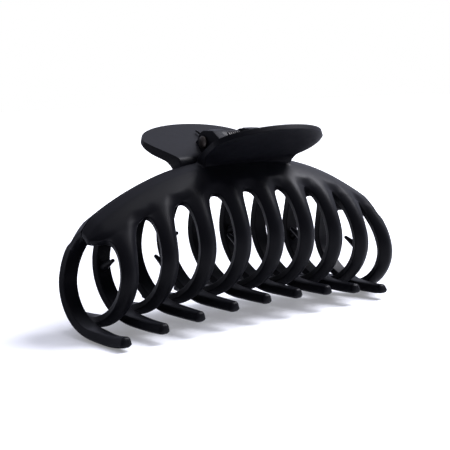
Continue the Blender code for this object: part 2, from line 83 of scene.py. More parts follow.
# Teeth and the openings between them
TEETH = 9
TOOTH_WIDTH = 5.2 * MM
TIP_WIDTH = 3.3 * MM
TAPER_START = 0.6  # share of a tooth's length where it begins to narrow
PITCH = (LENGTH - TOOTH_WIDTH) / (TEETH - 0.5)
ARCH_TOP_MIDDLE = 14.3 * MM  # along the section, from the ridge to the top of an opening
ARCH_TOP_END = 9.9 * MM
CORNER_WIDTH = 4.6 * MM  # rounding of the shoulder's lower corner at its -X end
CORNER_HEIGHT = 3.6 * MM
ARCH_HEIGHT = 13.2 * MM
ARCH_POWER = 2.6  # of the superellipse over an opening; 2 would be an ellipse
SMALLEST_SIZE = 0.1  # keeps the distance to an opening defined at its very middle
RIDGE_THICKNESS = 3.0 * MM
TOOTH_THICKNESS = 3.4 * MM
TIP_THICKNESS = 3.0 * MM
TIP_LENGTH = 1.4 * MM  # of the rounding at the very end of a tooth, a superellipse
TIP_POWER = 2.8
TIP_CLEARANCE = 0.05 * MM  # from the end of the CAD's tooth to the end of this finer one
THINNING_START = 0.8  # share of the section's length where its wall begins to thin
ROLL_WIDTH = 2.6 * MM  # rounding of the outer face beside an opening
ROLL_DEPTH = 1.5 * MM
ARCH_ROLL_POWER = 1.25  # how gently the rounding starts: over an arch, down a tooth and at its tip
TOOTH_ROLL_POWER = 1.8
TIP_ROLL_POWER = 3.6
INNER_NARROWING = 0.8  # width of a tooth's inner face, as a share of its full width
INNER_ROUNDING = 0.28  # how much of a tip's thickness the rounding of its inner edges takes
INNER_ROUNDING_POWER = 4.5
TIP_ROLL_LOSS = 0.5  # how much shallower the outer face's rounding is at a tip

# Thorn-like spikes inside every second tooth
SPIKED_TEETH = (1, 3, 5, 7)
SPIKE_PLACE_MIDDLE = 33.6 * MM  # along the section from the ridge, for a tooth at the middle and at the end
SPIKE_PLACE_END = 28.5 * MM
SPIKE_REACH = 7.0 * MM
SPIKE_RISE = 3.1 * MM
SPIKE_ROOT_RADIUS = 1.6 * MM
SPIKE_TIP_RADIUS = 0.55 * MM

# Handles
HANDLE_SLOPE = math.radians(24.0)  # above the horizontal
HANDLE_FOOT = 0.5 * MM  # height of the handle's inner face above the ridge, at the middle plane
HANDLE_STRIP = 4.6 * MM  # width of the strip of ridge that the handle grows from
HANDLE_CLEAR = 4.6 * MM  # up the slope, where the outer face leaves the shoulder
HANDLE_THICKNESS = 2.9 * MM
HANDLE_EDGE_THICKNESS = 1.7 * MM
HANDLE_THINNING_POWER = 3.0  # how late the handle thins on the way out to its rim
HANDLE_ROOT_SHARE = 0.25  # share of the way out where its thin side, at -X, reaches full thinness
HANDLE_SIDES = (  # distance up the slope, and the handle's two sides there, along X
    (0.0 * MM, -13.0 * MM, 18.0 * MM),
    (3.5 * MM, -13.7 * MM, 19.1 * MM),
    (7.0 * MM, -14.4 * MM, 20.8 * MM),
    (10.0 * MM, -14.9 * MM, 22.4 * MM),
    (13.0 * MM, -15.1 * MM, 23.4 * MM),
)
HANDLE_TOP = 23.7 * MM

# Hinge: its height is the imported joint's
HINGE_HEIGHT = frame["joints"][0]["pos_m"][2]
BARREL_RADIUS = 3.5 * MM
OUTER_KNUCKLE = (-10.0 * MM, -6.9 * MM)  # reach of the front jaw's two knuckles along X
INNER_KNUCKLE = (3.2 * MM, 6.5 * MM)
WEB_REACH = 10.5 * MM  # from the hinge axis out along the handle
WEB_SHOULDER = 4.1 * MM  # where the web's flat top starts to slope down
SINK = 0.9 * MM  # how deep a knuckle or spike is rooted in the wall it grows from
BORE_RADIUS = 1.3 * MM
PIN_RADIUS = 1.0 * MM
PIN_HEAD_RADIUS = 1.9 * MM
PIN_HEAD_THICKNESS = 0.8 * MM
PEENED_RADIUS = 1.6 * MM
PEENED_THICKNESS = 0.64 * MM

# Torsion spring
WIRE_RADIUS = 0.37 * MM
COIL_RADIUS = 2.65 * MM
COIL_PITCH = 0.82 * MM
COIL_TURNS = 6
LEG_REACH = 15.5 * MM
FIT_GAP = 0.3 * MM

# The jaw's control cage. Rows and columns stand close together beside each crisp edge.
TIP_POINTS = 12
SECTION_POINTS = 240
SLOPE_STEP = 0.8 * MM  # either side of a point of the section, to find which way it slopes
LIP = 0.3 * MM  # from a crisp edge to the row of points that holds its rounding
OUTER_ACROSS = (-1.0, -0.95, -0.83, -0.66, -0.46, -0.24, 0.0, 0.24, 0.46, 0.66, 0.83, 0.95, 1.0)
INNER_ACROSS = (-1.0, -0.92, -0.76, -0.57, -0.38, -0.19, 0.0, 0.19, 0.38, 0.57, 0.76, 0.92, 1.0)
STRIP_PLACES = (0.0, LIP, HANDLE_STRIP - LIP, HANDLE_STRIP)  # along the section, under the handle's root
SHOULDER_START = 0.3  # the value, on the scale of the next line, at the edge of the handle's root
SHOULDER_ROWS = (0.42, 0.52, 0.6, 0.67, 0.73, 0.785, 0.83, 0.87, 0.91, 0.955, 1.0)  # 1 at an arch's top
ARCH_ROWS = (6, 13, 20, 28, 37, 46, 56, 67, 78, 90)  # degrees round the quarter ellipse
TOOTH_ROW_COUNT = 15
TIP_ROWS = (8, 24, 44, 64, 80)  # degrees round the tip
HANDLE_ROWS = (0.05, 0.12, 0.22, 0.34, 0.47, 0.6, 0.72, 0.83, 0.92, 0.985, 1.0)  # from the root to the rim
WALL_LIP = 0.12  # share of a wall's height between its edge and the nearest row of points


# Small helpers -----------------------------------------------------------------------------


def add_object(name, mesh):
    obj = bpy.data.objects.new(name, mesh)
    bpy.context.scene.collection.objects.link(obj)
    return obj


def finish_mesh(name, bm, sharp_degrees=40.0):
    """Turn the faces out, close the bmesh and give back a smooth-shaded mesh."""
    bmesh.ops.recalc_face_normals(bm, faces=bm.faces)
    mesh = bpy.data.meshes.new(name)
    bm.to_mesh(mesh)
    bm.free()
    mesh.shade_smooth()
    mesh.set_sharp_from_angle(angle=math.radians(sharp_degrees))
    return mesh


def evaluated_mesh(obj, name):
    """The object's mesh with its modifiers applied, as a new mesh."""
    depsgraph = bpy.context.evaluated_depsgraph_get()
    mesh = bpy.data.meshes.new_from_object(obj.evaluated_get(depsgraph))
    mesh.name = name
    return mesh


# The jaw's section ---------------------------------------------------------------------------

TOOTH_CENTRES = [LENGTH / 2 - TOOTH_WIDTH / 2 - PITCH * (TEETH - 1 - i) for i in range(TEETH)]


def share_of_half(x):
    return min(abs(2.0 * x / LENGTH), 1.0)


def ridge_height(x):
    return RIDGE_MIDDLE - (RIDGE_MIDDLE - RIDGE_END) * share_of_half(x) ** RIDGE_POWER


def arch_top(x):
    """Distance along the section from the ridge to the top of an opening."""
    near_end = max(0.0, 1.0 - (x + LENGTH / 2) / CORNER_WIDTH)
    lowering = (ARCH_TOP_MIDDLE - ARCH_TOP_END) * share_of_half(x) ** 2
    return ARCH_TOP_MIDDLE - lowering - CORNER_HEIGHT * near_end**2


def roll(edge_distance, power):
    """How far the outer face falls away this close to an opening. A low power starts the fall crisply."""
    inside = 1.0 - min(max(edge_distance, 0.0), ROLL_WIDTH) / ROLL_WIDTH
    return ROLL_DEPTH * inside**power


class Section:
    """The outer face's curve at one place along the clip, from the ridge to a tooth's tip."""

    def __init__(self, x):
        share = share_of_half(x)
        ridge = ridge_height(x)
        towards_end = x / TOOTH_CENTRES[-1]
        underside = UNDERSIDE_RISE * (1.0 - towards_end**2) + UNDERSIDE_SKEW * (1.0 - towards_end) / 2
        bulge = BULGE_MIDDLE - (BULGE_MIDDLE - BULGE_END) * share**2
        waist = underside + WAIST * (ridge - underside)
        turn = np.linspace(0.0, math.pi / 2, SECTION_POINTS)
        sine, cosine = np.sin(turn), np.maximum(np.cos(turn), 0.0)
        upper_y = -bulge * sine ** (2 / UPPER_POWER)
        upper_z = waist + (ridge - waist) * cosine ** (2 / UPPER_POWER)
        lower_y = TIP_START - (bulge + TIP_START) * cosine ** (2 / LOWER_POWER)
        lower_z = waist - (waist - underside) * sine ** (2 / LOWER_POWER)
        run = np.linspace(0.0, 1.0, TIP_POINTS)
        tip_y = LIFT_START + (TIP_REACH + TIP_SKEW * towards_end - LIFT_START) * run
        self.y = np.concatenate([upper_y, lower_y[1:], tip_y])
        self.z = np.concatenate([upper_z, lower_z[1:], underside + TIP_LIFT * share**LIFT_POWER * run**2])
        steps = np.hypot(np.diff(self.y), np.diff(self.z))
        self.along = np.concatenate([[0.0], np.cumsum(steps)])
        self.total = float(self.along[-1])

    def at(self, distance):
        return np.interp(distance, self.along, self.y), np.interp(distance, self.along, self.z)

    def place(self, distance, depth):
        """The point this far along the curve and this deep under the outer face, as y and z."""
        y, z = self.at(distance)
        near_y, near_z = self.at(max(distance - SLOPE_STEP, 0.0))
        far_y, far_z = self.at(min(distance + SLOPE_STEP, self.total))
        size = math.hypot(far_y - near_y, far_z - near_z)
        return y - depth * (far_z - near_z) / size, z + depth * (far_y - near_y) / size


@functools.lru_cache(maxsize=None)
def section_at(x):
    return Section(x)


def wall_thickness(distance, total):
    """Wall thickness along the section: shoulder, tooth, then a thinner tip."""
    places = (0.0, ARCH_TOP_MIDDLE, THINNING_START * total, total)
    walls = (RIDGE_THICKNESS, TOOTH_THICKNESS, TOOTH_THICKNESS, TIP_THICKNESS)
    return float(np.interp(distance, places, walls))


def opening_distance(x, distance, centre, half_width, top):
    """Distance from a point of the shoulder or a tooth to one opening, whose top is half a superellipse."""
    across = abs(x - centre) / half_width
    up = (top + ARCH_HEIGHT - distance) / ARCH_HEIGHT
    if up <= 0.0:
        return (across - 1.0) * half_width
    size = max((across**ARCH_POWER + up**ARCH_POWER) ** (1 / ARCH_POWER), SMALLEST_SIZE)
    slopes = (across / size) ** (ARCH_POWER - 1) / half_width, (up / size) ** (ARCH_POWER - 1) / ARCH_HEIGHT
    return (size - 1.0) / math.hypot(*slopes)


def fan_factor(y, z):
    """Sideways spread at a distance from the hinge: the same at any opening, so the teeth pass each other."""
    distance = math.hypot(y, z - HINGE_HEIGHT) - (HINGE_HEIGHT - RIDGE_MIDDLE)
    return 1.0 + FAN * distance * 2.0 / LENGTH


# The jaw's control cage ------------------------------------------------------------------------

OPENINGS = [(-LENGTH / 2, PITCH / 2)]
OPENINGS += [(centre + PITCH / 2, (PITCH - TOOTH_WIDTH) / 2) for centre in TOOTH_CENTRES[:-1]]
ROWS = [("strip", place) for place in STRIP_PLACES]
ROWS += [("shoulder", share) for share in SHOULDER_ROWS]
ROWS += [("arch", math.radians(angle)) for angle in ARCH_ROWS]
ROWS += [("tooth", (i + 1) / TOOTH_ROW_COUNT) for i in range(TOOTH_ROW_COUNT)]
ROWS += [("tip", math.radians(angle)) for angle in TIP_ROWS]
STRIP_ROW = len(STRIP_PLACES) - 1
APEX_ROW = STRIP_ROW + len(SHOULDER_ROWS)
LAST_ROW = len(ROWS) - 1
LAST_COLUMN = len(OUTER_ACROSS) - 1
OUTER, INNER = 0.0, 1.0


def shoulder_reach(tooth, across):
    """Width of a tooth's own stretch of shoulder, on one side of its centre."""
    if tooth == 0 and across < 0:
        return TOOTH_CENTRES[0] + LENGTH / 2
    if tooth == TEETH - 1 and across > 0:
        return TOOTH_WIDTH / 2
    return PITCH / 2


def column_place(shared_column):
    """The tooth, and the place across it, of a column counted along the whole shoulder."""
    tooth = min(shared_column // LAST_COLUMN, TEETH - 1)
    return tooth, shared_column - tooth * LAST_COLUMN


def even_x(tooth, column):
    """Where a column crosses the shoulder when its columns are evenly spread."""
    across = 2.0 * column / LAST_COLUMN - 1.0
    return TOOTH_CENTRES[tooth] + across * shoulder_reach(tooth, across)


def shared_x(shared_column):
    return even_x(*column_place(shared_column))


def nearest_column(x):
    columns = range(TEETH * LAST_COLUMN + 1)
    return min(columns, key=lambda column: abs(shared_x(column) - x))


ROOT_ENDS = HANDLE_SIDES[0][1:]
HANDLE_COLUMNS = (nearest_column(ROOT_ENDS[0]), nearest_column(ROOT_ENDS[1]))


def strip_x(x):
    """Slide the ridge's columns, so that two stand at the handle's sides and two just inside them."""
    first, last = HANDLE_COLUMNS
    places = [-LENGTH / 2, shared_x(first), shared_x(first + 1)]
    places += [shared_x(last - 1), shared_x(last), LENGTH / 2]
    left, right = ROOT_ENDS
    targets = [-LENGTH / 2, left, left + LIP, right - LIP, right, LENGTH / 2]
    return float(np.interp(x, places, targets))


def root_share(shared_column):
    """How far out a column stands on the handle's root: -1 and 1 at its two sides."""
    left, right = ROOT_ENDS
    return (2.0 * strip_x(shared_x(shared_column)) - left - right) / (right - left)


def tip_share(row):
    """How far a row lies towards a tooth's tip: 0 up to where the tooth starts to taper, 1 at the tip."""
    kind, value = ROWS[row]
    if kind == "tip":
        return 1.0
    return max(0.0, (value - TAPER_START) / (1.0 - TAPER_START)) if kind == "tooth" else 0.0


def row_shape(tooth, column, row, layer):
    """Where a cage point lies: x, the x whose section it follows, distance along it, and its squeeze."""
    kind, value = ROWS[row]
    centre = TOOTH_CENTRES[tooth]
    own_across = (INNER_ACROSS if layer == INNER else OUTER_ACROSS)[column]
    wide = even_x(tooth, column)
    if kind == "strip":
        x = strip_x(wide)
        return x, x, value, 1.0
    if kind == "shoulder":
        x = wide + (strip_x(wide) - wide) * (1.0 - value) / (1.0 - SHOULDER_ROWS[0])
        share = (value - SHOULDER_START) / (1.0 - SHOULDER_START)
        return x, x, HANDLE_STRIP + (arch_top(x) - HANDLE_STRIP) * share, 1.0
    narrowing = INNER_NARROWING if layer == INNER else 1.0
    straight = centre + own_across * TOOTH_WIDTH / 2 * narrowing
    if kind == "arch":
        reach = math.sin(value) ** (2 / ARCH_POWER)
        at_edge = abs(own_across) ** 3
        drop = at_edge * (1.0 - max(math.cos(value), 0.0) ** (2 / ARCH_POWER))
        drop += (1.0 - at_edge) * 2.0 * value / math.pi
        x = wide + (straight - wide) * reach
        section_x = x + (centre - x) * reach
        return x, section_x, arch_top(section_x) + ARCH_HEIGHT * drop, 1.0
    start = arch_top(centre) + ARCH_HEIGHT
    end = section_at(centre).total - TIP_LENGTH - TIP_CLEARANCE
    if kind == "tooth":
        x = straight + own_across * narrowing * (TIP_WIDTH - TOOTH_WIDTH) / 2 * tip_share(row)
        return x, centre, start + (end - start) * value, 1.0
    squeeze = math.cos(value) ** (2 / TIP_POWER)
    x = centre + own_across * narrowing * TIP_WIDTH / 2 * squeeze
    return x, centre, end + TIP_LENGTH * math.sin(value) ** (2 / TIP_POWER), squeeze


def rolled_depth(row, column, x, distance, top):
    """How deep the rounding beside the openings and ends sets a point of the outer face."""
    kind, value = ROWS[row]
    if kind in ("tooth", "tip"):
        power = TOOTH_ROLL_POWER + (TIP_ROLL_POWER - TOOTH_ROLL_POWER) * tip_share(row)
        depth = roll((1.0 - abs(OUTER_ACROSS[column])) * TOOTH_WIDTH / 2, power)
        return depth * (1.0 - TIP_ROLL_LOSS * tip_share(row))
    power = ARCH_ROLL_POWER
    edges = [LENGTH / 2 - abs(x)]
    if kind == "arch":
        power += (TOOTH_ROLL_POWER - ARCH_ROLL_POWER) * math.sin(value)
    if kind != "strip":
        edges += [opening_distance(x, distance, *opening, top) for opening in OPENINGS]
    return roll(min(edges), power)


def cage_point(tooth, column, row, layer):
    """One point of the jaw, on its outer or inner face."""
    x, section_x, distance, squeeze = row_shape(tooth, column, row, layer)
    section = section_at(section_x)
    wall = wall_thickness(distance, section.total)
    if layer == INNER:
        rounding = INNER_ROUNDING * abs(INNER_ACROSS[column]) ** INNER_ROUNDING_POWER
        depth = wall * (1.0 - rounding * tip_share(row))
    else:
        depth = rolled_depth(row, column, x, distance, arch_top(section_x))
    depth = wall / 2 + (depth - wall / 2) * squeeze
    y, z = section.place(distance, depth)
    if row <= APEX_ROW:
        y = min(y, -MIDDLE_GAP / 2)
    return Vector((x * fan_factor(y, z), y, z))


def handle_place(x, up_slope, drop):
    """A point of the handle: up the slope from the middle plane, and this far under its inner face."""
    y = -up_slope * math.cos(HANDLE_SLOPE) - drop * math.sin(HANDLE_SLOPE)
    z = RIDGE_MIDDLE + HANDLE_FOOT + up_slope * math.sin(HANDLE_SLOPE) - drop * math.cos(HANDLE_SLOPE)
    return Vector((x, y, z))


def handle_x(spread, up_slope):
    """The place along X this share of the way from the handle's middle line to one of its sides."""
    distances, lefts, rights = zip(*HANDLE_SIDES)
    left, right = np.interp(up_slope, distances, lefts), np.interp(up_slope, distances, rights)
    return float(left + right + spread * (right - left)) / 2


def handle_column(share, layer):
    """The handle's points above its root on one layer, for a column this share of the half width out."""
    corner = HANDLE_SIDES[-1][0]
    points = []
    for row in HANDLE_ROWS:
        spread = share + row * (math.sin(share * math.pi / 2) - share)
        rim = corner + (HANDLE_TOP - corner) * math.sqrt(max(0.0, 1.0 - spread**2))
        start = HANDLE_CLEAR * layer
        up_slope = start + (rim - start) * row
        near_edge = max(row, -spread) ** HANDLE_THINNING_POWER * min(1.0, row / HANDLE_ROOT_SHARE)
        drop = (HANDLE_THICKNESS - (HANDLE_THICKNESS - HANDLE_EDGE_THICKNESS) * near_edge) * layer
        points.append(handle_place(handle_x(spread, up_slope), up_slope, drop))
    return points


class JawCage:
    """A jaw's outer and inner faces as one grid, whose teeth share points only above the openings."""

    def __init__(self):
        self.bm = bmesh.new()
        self.points = {}

    def point(self, tooth, column, row, layer):
        key = (tooth, column, row, layer)
        if row <= APEX_ROW:
            key = ("shared", tooth * LAST_COLUMN + column, row, layer)
        if key not in self.points:
            if layer in (OUTER, INNER):
                place = cage_point(tooth, column, row, layer)
            else:
                outer = self.point(tooth, column, row, OUTER).co
                inner = self.point(tooth, column, row, INNER).co
                place = outer.lerp(inner, layer)
            self.points[key] = self.bm.verts.new(place)
        return self.points[key]

    def face(self, corners):
        self.bm.faces.new([self.point(*corner) for corner in corners])

    def wall(self, line):
        """Join the outer and inner faces along a line of grid points, with a row close to each edge."""
        layers = (OUTER, WALL_LIP, 1.0 - WALL_LIP, INNER)
        for start, end in zip(line[:-1], line[1:]):
            for above, below in zip(layers[:-1], layers[1:]):
                self.face([start + (above,), end + (above,), end + (below,), start + (below,)])

    def build_tooth(self, tooth):
        """Both faces of a tooth and of the shoulder above it, and the cap on its tip."""
        for column in range(LAST_COLUMN):
            in_handle = HANDLE_COLUMNS[0] <= tooth * LAST_COLUMN + column < HANDLE_COLUMNS[1]
            for row in range(LAST_ROW):
                corners = [(tooth, column, row), (tooth, column + 1, row)]
                corners += [(tooth, column + 1, row + 1), (tooth, column, row + 1)]
                self.face([corner + (INNER,) for corner in corners])
                if row >= STRIP_ROW or not in_handle:
                    self.face([corner + (OUTER,) for corner in corners])
            cap = [(tooth, column, LAST_ROW, OUTER), (tooth, column + 1, LAST_ROW, OUTER)]
            if column == LAST_COLUMN - 1:
                cap += [(tooth, column + 1, LAST_ROW, layer) for layer in (WALL_LIP, 1.0 - WALL_LIP)]
            cap += [(tooth, column + 1, LAST_ROW, INNER), (tooth, column, LAST_ROW, INNER)]
            if column == 0:
                cap += [(tooth, column, LAST_ROW, layer) for layer in (1.0 - WALL_LIP, WALL_LIP)]
            self.face(cap)

    def build_walls(self):
        """The narrow faces along the ridge, the two ends and the sides of the openings."""
        everywhere = range(len(ROWS))
        below_apex = range(APEX_ROW, len(ROWS))
        for tooth in range(TEETH):
            self.wall([(tooth, column, 0) for column in range(LAST_COLUMN + 1)])
            self.wall([(tooth, 0, row) for row in (below_apex if tooth else everywhere)])
            is_last = tooth == TEETH - 1
            self.wall([(tooth, LAST_COLUMN, row) for row in (everywhere if is_last else below_apex)])

    def handle_stack(self, shared_column, strip_row):
        """The handle's points in one column and layer, from its root on the ridge to its rim."""
        tooth, column = column_place(shared_column)
        share = root_share(shared_column)
        layer = STRIP_PLACES[strip_row] / HANDLE_STRIP
        root = self.point(tooth, column, strip_row, OUTER)
        return [root] + [self.bm.verts.new(place) for place in handle_column(share, layer)]

    def build_handle(self):
        """Grow the handle out of the strip of ridge under it: its two faces, its sides and its rim."""
        columns = range(HANDLE_COLUMNS[0], HANDLE_COLUMNS[1] + 1)
        ends = (columns[0], columns[-1])
        top = len(HANDLE_ROWS)
        stacks = {}
        for strip_row in (0, STRIP_ROW):
            for column in columns:
                stacks[strip_row, column] = self.handle_stack(column, strip_row)
            for here, there in zip(columns[:-1], columns[1:]):
                left, right = stacks[strip_row, here], stacks[strip_row, there]
                for level in range(top):
                    self.bm.faces.new([left[level], right[level], right[level + 1], left[level + 1]])
        for strip_row in range(1, STRIP_ROW):
            for column in columns:
                full = self.handle_stack(column, strip_row) if column in ends else None
                stacks[strip_row, column] = full or self.rim_only(column, strip_row, top)
        for strip_row in range(STRIP_ROW):
            for column in ends:
                near, far = stacks[strip_row, column], stacks[strip_row + 1, column]
                for level in range(top):
                    self.bm.faces.new([near[level], near[level + 1], far[level + 1], far[level]])
            for here, there in zip(columns[:-1], columns[1:]):
                rim = [stacks[strip_row, here][top], stacks[strip_row, there][top]]
                rim += [stacks[strip_row + 1, there][top], stacks[strip_row + 1, here][top]]
                self.bm.faces.new(rim)

    def rim_only(self, shared_column, strip_row, top):
        """A stack that has only its rim point, for a layer inside the handle's thickness."""
        share = root_share(shared_column)
        place = handle_column(share, STRIP_PLACES[strip_row] / HANDLE_STRIP)[-1]
        return {top: self.bm.verts.new(place)}


def jaw_cage_mesh():
    cage = JawCage()
    for tooth in range(TEETH):
        cage.build_tooth(tooth)
    cage.build_walls()
    cage.build_handle()
    return finish_mesh("jaw_cage", cage.bm)


# Knuckles, spikes and the bore -------------------------------------------------------------------

BARREL_STEPS = 28
EDGE_BEVEL = 0.28 * MM
BEVELLED_ANGLE = math.radians(20.0)  # a knuckle's edges sharper than this are softened
SPIKE_SIDES = 20
SPIKE_STEPS = 10
SPIKE_FLARE = 1.25  # how fast a spike narrows from its root
SPIKE_END_ANGLES = (25, 50, 70)  # degrees round its blunt tip
BORE_SIDES = 48
JAW_SHARP_ANGLE = math.radians(38.0)  # edges of the finished jaw sharper than this stay crisp


def knuckle_profile():
    """A knuckle seen along X: the barrel round the hinge, and the web that joins it to its own handle."""
    side = -MIDDLE_GAP / 2
    profile = [(side, RIDGE_MIDDLE - SINK)]
    for step in range(BARREL_STEPS + 1):
        angle = -math.pi / 2 + math.pi * step / BARREL_STEPS
        y = BARREL_RADIUS * math.cos(angle)
        profile.append((y if step else side, HINGE_HEIGHT + BARREL_RADIUS * math.sin(angle)))
    profile.append((-WEB_SHOULDER, HINGE_HEIGHT + BARREL_RADIUS))
    for up_slope in (WEB_REACH, SINK):
        foot = handle_place(0.0, up_slope / math.cos(HANDLE_SLOPE), SINK)
        profile.append((foot.y, foot.z))
    return profile


def add_knuckle(bm, span):
    """A closed prism along X with a knuckle's profile and softened edges."""
    own = bmesh.new()
    profile = knuckle_profile()
    ends = [[own.verts.new((x, y, z)) for y, z in profile] for x in span]
    for i in range(len(profile)):
        j = (i + 1) % len(profile)
        own.faces.new([ends[0][i], ends[0][j], ends[1][j], ends[1][i]])
    caps = [own.faces.new(ends[0]), own.faces.new(ends[1])]
    own.normal_update()
    bmesh.ops.recalc_face_normals(own, faces=own.faces)
    edges = {edge for cap in caps for edge in cap.edges}
    edges |= {edge for edge in own.edges if edge.calc_face_angle(0.0) > BEVELLED_ANGLE}
    bmesh.ops.bevel(own, geom=list(edges), offset=EDGE_BEVEL, segments=3, profile=0.5, affect="EDGES")
    merge_bmesh(bm, own)


def merge_bmesh(bm, other):
    """Add another bmesh's geometry to this one, and free the other."""
    mesh = bpy.data.meshes.new("merged")
    other.to_mesh(mesh)
    other.free()
    bm.from_mesh(mesh)
    bpy.data.meshes.remove(mesh)


def turned_rings(bm, profile, sides, place):
    """A closed body turned about Z from a profile of height and radius that starts and ends on the axis."""
    rings = []
    for height, radius in profile:
        count = sides if radius else 1
        angles = [2 * math.pi * i / count for i in range(count)]
        ring = [place @ Vector((radius * math.cos(a), radius * math.sin(a), height)) for a in angles]
        rings.append([bm.verts.new(point) for point in ring])
    for here, there in zip(rings[:-1], rings[1:]):
        for i in range(sides):
            j = (i + 1) % sides
            corners = [here[i % len(here)], here[j % len(here)], there[j % len(there)], there[i % len(there)]]
            bm.faces.new(list(dict.fromkeys(corners)))


def add_spike(bm, tooth):
    """A thorn that leans inwards and upwards from a tooth's inner face, flared at its root."""
    section = section_at(TOOTH_CENTRES[tooth])
    lowering = (SPIKE_PLACE_MIDDLE - SPIKE_PLACE_END) * share_of_half(TOOTH_CENTRES[tooth]) ** 2
    root_y, root_z = section.place(SPIKE_PLACE_MIDDLE - lowering, TOOTH_THICKNESS - SINK)
    root = Vector((TOOTH_CENTRES[tooth] * fan_factor(root_y, root_z), root_y, root_z))
    lean = Vector((0.0, SPIKE_REACH, SPIKE_RISE))
    place = Matrix.Translation(root) @ lean.to_track_quat("Z", "Y").to_matrix().to_4x4()
    straight = lean.length - SPIKE_TIP_RADIUS
    profile = [(0.0, 0.0)]
    for step in range(SPIKE_STEPS + 1):
        share = step / SPIKE_STEPS
        radius = SPIKE_TIP_RADIUS + (SPIKE_ROOT_RADIUS - SPIKE_TIP_RADIUS) * (1.0 - share) ** SPIKE_FLARE
        profile.append((straight * share, radius))
    for turn in map(math.radians, SPIKE_END_ANGLES):
        height = straight + SPIKE_TIP_RADIUS * math.sin(turn)
        profile.append((height, SPIKE_TIP_RADIUS * math.cos(turn)))
    profile.append((lean.length, 0.0))
    turned_rings(bm, profile, SPIKE_SIDES, place)


def additions_mesh():
    """Everything that is joined to a jaw's shell: two knuckles and four spikes."""
    bm = bmesh.new()
    add_knuckle(bm, OUTER_KNUCKLE)
    add_knuckle(bm, INNER_KNUCKLE)
    for tooth in SPIKED_TEETH:
        add_spike(bm, tooth)
    return finish_mesh("additions", bm)


def along_x(z):
    """Turns a body's own Z axis to +X, at a height on the middle plane."""
    return Matrix.Translation((0.0, 0.0, z)) @ Matrix.Rotation(math.pi / 2, 4, "Y")


def bore_mesh():
    half = -OUTER_KNUCKLE[0] + SINK
    bm = bmesh.new()
    profile = [(-half, 0.0), (-half, BORE_RADIUS), (half, BORE_RADIUS), (half, 0.0)]
    turned_rings(bm, profile, BORE_SIDES, along_x(HINGE_HEIGHT))
    return finish_mesh("bore", bm)


def jaw_mesh():
    """The finished jaw: the smoothed shell, joined with its knuckles and spikes, and bored for the pin."""
    jaw = add_object("jaw_work", jaw_cage_mesh())
    smooth = jaw.modifiers.new("smooth", "SUBSURF")
    smooth.levels = 1
    tools = [add_object("additions", additions_mesh()), add_object("bore", bore_mesh())]
    for tool, operation in zip(tools, ("UNION", "DIFFERENCE")):
        cut = jaw.modifiers.new(tool.name, "BOOLEAN")
        cut.object = tool
        cut.operation = operation
    mesh = evaluated_mesh(jaw, "jaw")
    for obj in [jaw] + tools:
        bpy.data.objects.remove(obj, do_unlink=True)
    mesh.shade_smooth()
    mesh.set_sharp_from_angle(angle=JAW_SHARP_ANGLE)
    return mesh


# Pin and spring --------------------------------------------------------------------------------

PIN_SIDES = 56
PIN_CORNER = 0.12 * MM  # bevel of the two heads' edges
HEAD_STEPS = (0.25, 0.5, 0.7, 0.85, 0.95)  # shares of the head's radius, out from its middle
HEAD_DOME = 0.45  # height of the head's dome, as a share of its thickness
HEAD_SIDE = 0.4  # height of the head's straight side, as a share of its thickness
PEENED_STEPS = (0.9, 0.75, 0.5, 0.25)  # shares of the peened end's radius, in towards its middle
PEENED_DOME = 0.5
COIL_STEPS = 44
LEG_STEPS = 12
WIRE_SIDES = 14
WIRE_END_SIZE = 0.7  # radius of a cut end's face, as a share of the wire's radius
WIRE_END_INSET = 0.1 * MM  # how far before a cut end its rounding starts


def pin_mesh():
    """A turned pin with a low domed head at one end and a smaller peened head at the other."""
    seat = -OUTER_KNUCKLE[0] + FIT_GAP
    head = seat + PIN_HEAD_THICKNESS
    peen = seat + PEENED_THICKNESS
    profile = [(-head, 0.0)]
    for share in HEAD_STEPS:
        profile.append((-head + PIN_HEAD_THICKNESS * HEAD_DOME * share**3, PIN_HEAD_RADIUS * share))
    profile += [
        (-seat - PIN_HEAD_THICKNESS * HEAD_SIDE, PIN_HEAD_RADIUS),
        (-seat - PIN_CORNER, PIN_HEAD_RADIUS),
        (-seat, PIN_HEAD_RADIUS - PIN_CORNER),
        (-seat, PIN_RADIUS),
        (seat, PIN_RADIUS),
        (seat, PEENED_RADIUS - PIN_CORNER),
        (seat + PIN_CORNER, PEENED_RADIUS),
    ]
    for share in PEENED_STEPS:
        profile.append((peen - PIN_HEAD_THICKNESS * PEENED_DOME * share**2, PEENED_RADIUS * share))
    profile.append((peen, 0.0))
    bm = bmesh.new()
    turned_rings(bm, profile, PIN_SIDES, along_x(HINGE_HEIGHT))
    return finish_mesh("pin", bm, sharp_degrees=50.0)


def spring_path():
    """The wire's centre line: leg on the rear handle, coil round the hinge, leg on the front handle."""
    foot = handle_place(0.0, LEG_REACH / math.cos(HANDLE_SLOPE), -(WIRE_RADIUS + FIT_GAP))
    tip = (-foot.y, foot.z - HINGE_HEIGHT)
    tip_distance = math.hypot(*tip)
    leave = math.atan2(tip[1], tip[0]) - math.acos(COIL_RADIUS / tip_distance)
    sweep = 2 * math.pi * COIL_TURNS + math.pi + 2 * leave
    half_length = COIL_PITCH * sweep / (2 * math.pi) / 2
    steps = round(COIL_STEPS * sweep / (2 * math.pi))
    path = [Vector((-half_length, tip[0], tip[1]))]
    for step in range(steps + 1):
        angle = leave - sweep * step / steps
        x = -half_length + 2 * half_length * step / steps
        path.append(Vector((x, COIL_RADIUS * math.cos(angle), COIL_RADIUS * math.sin(angle))))
    path.append(Vector((half_length, -tip[0], tip[1])))
    return [point + Vector((0.0, 0.0, HINGE_HEIGHT)) for point in path]


